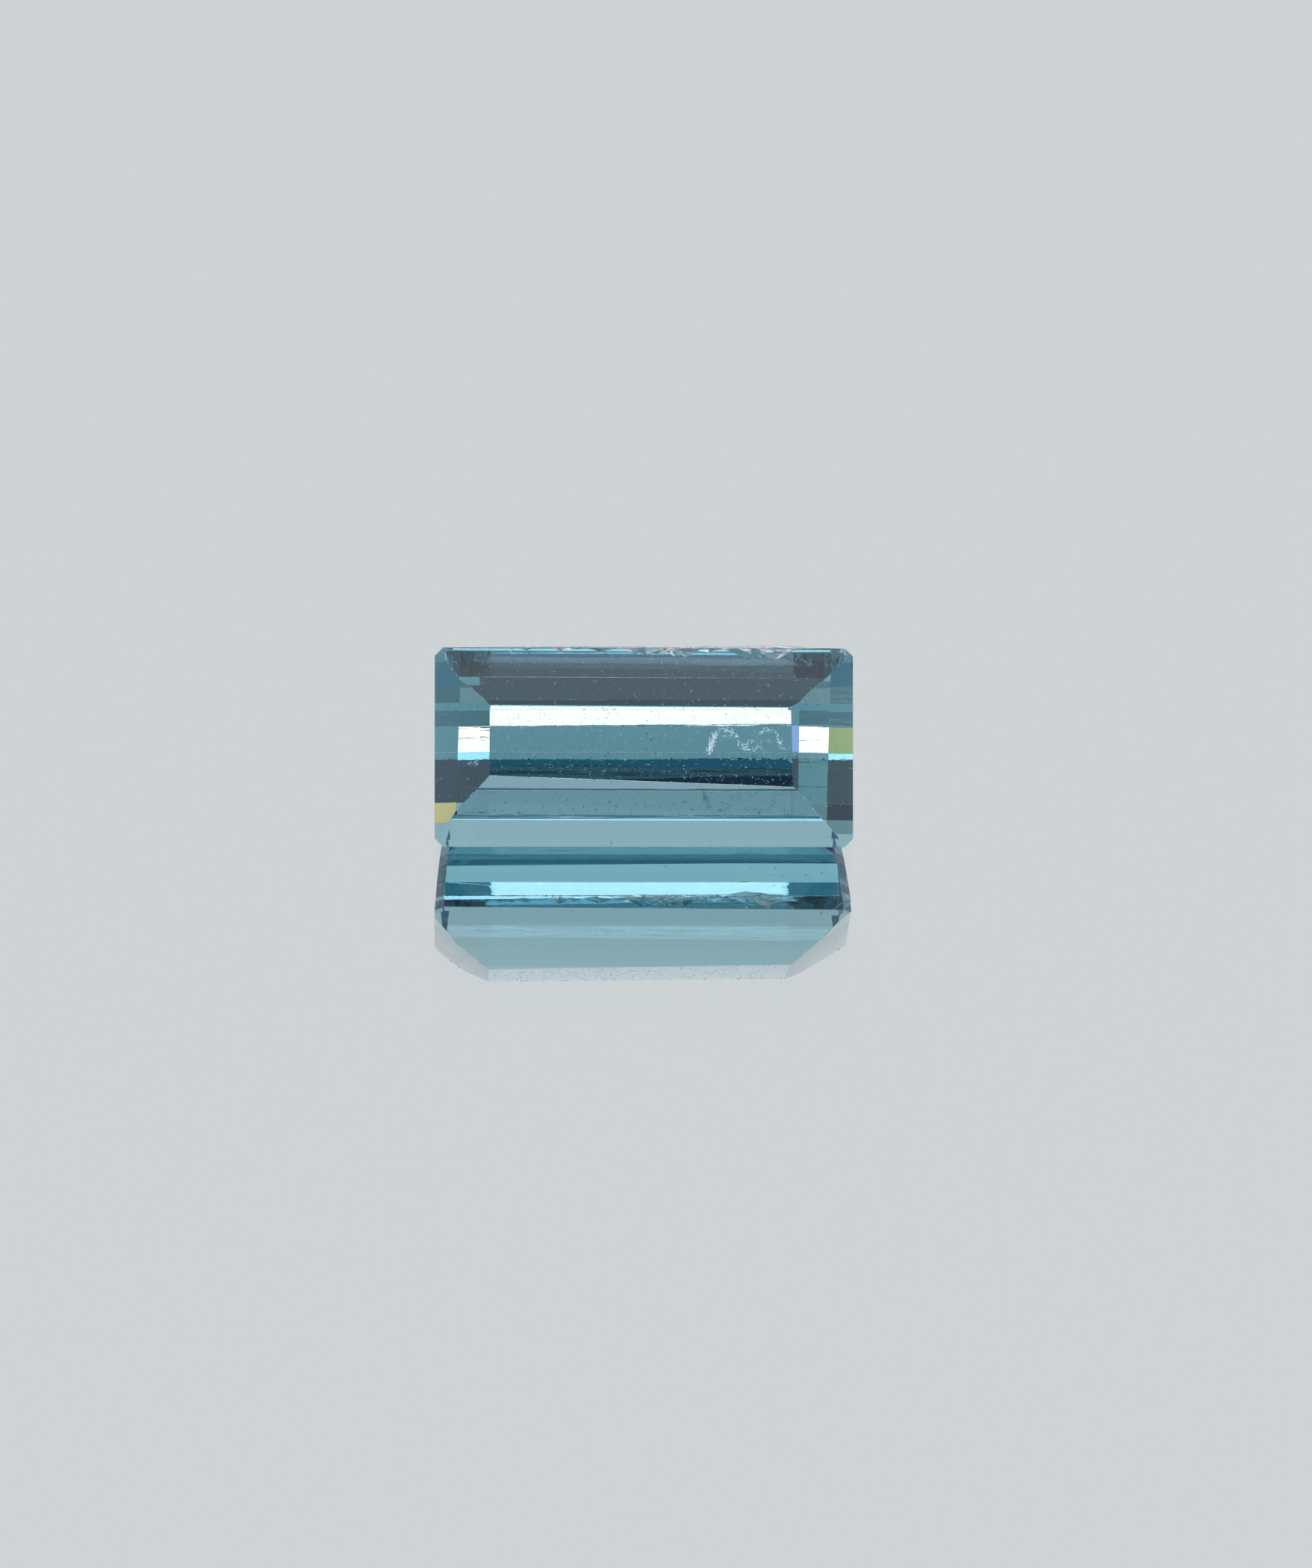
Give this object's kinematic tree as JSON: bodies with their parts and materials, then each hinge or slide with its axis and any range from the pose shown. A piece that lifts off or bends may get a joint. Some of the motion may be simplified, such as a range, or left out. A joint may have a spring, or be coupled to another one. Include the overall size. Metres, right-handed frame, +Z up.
{
  "type": "faceted gemstone",
  "caption": "Loose step-cut tourmaline: a long rectangular stone with a flat table and stepped crown and pavilion facets, lying on a pavilion facet.",
  "frame": {"origin": "on the surface the stone rests on, under the middle of its bounding box", "axes": "+X along the length of the table, +Z up, -Y the way the leaning table faces"},
  "size_m": [0.0074, 0.003, 0.003],
  "materials": {
    "tourmaline": "polished"
  },
  "bodies": {
    "root": {"tourmaline": "tourmaline"}
  },
  "joints": []
}
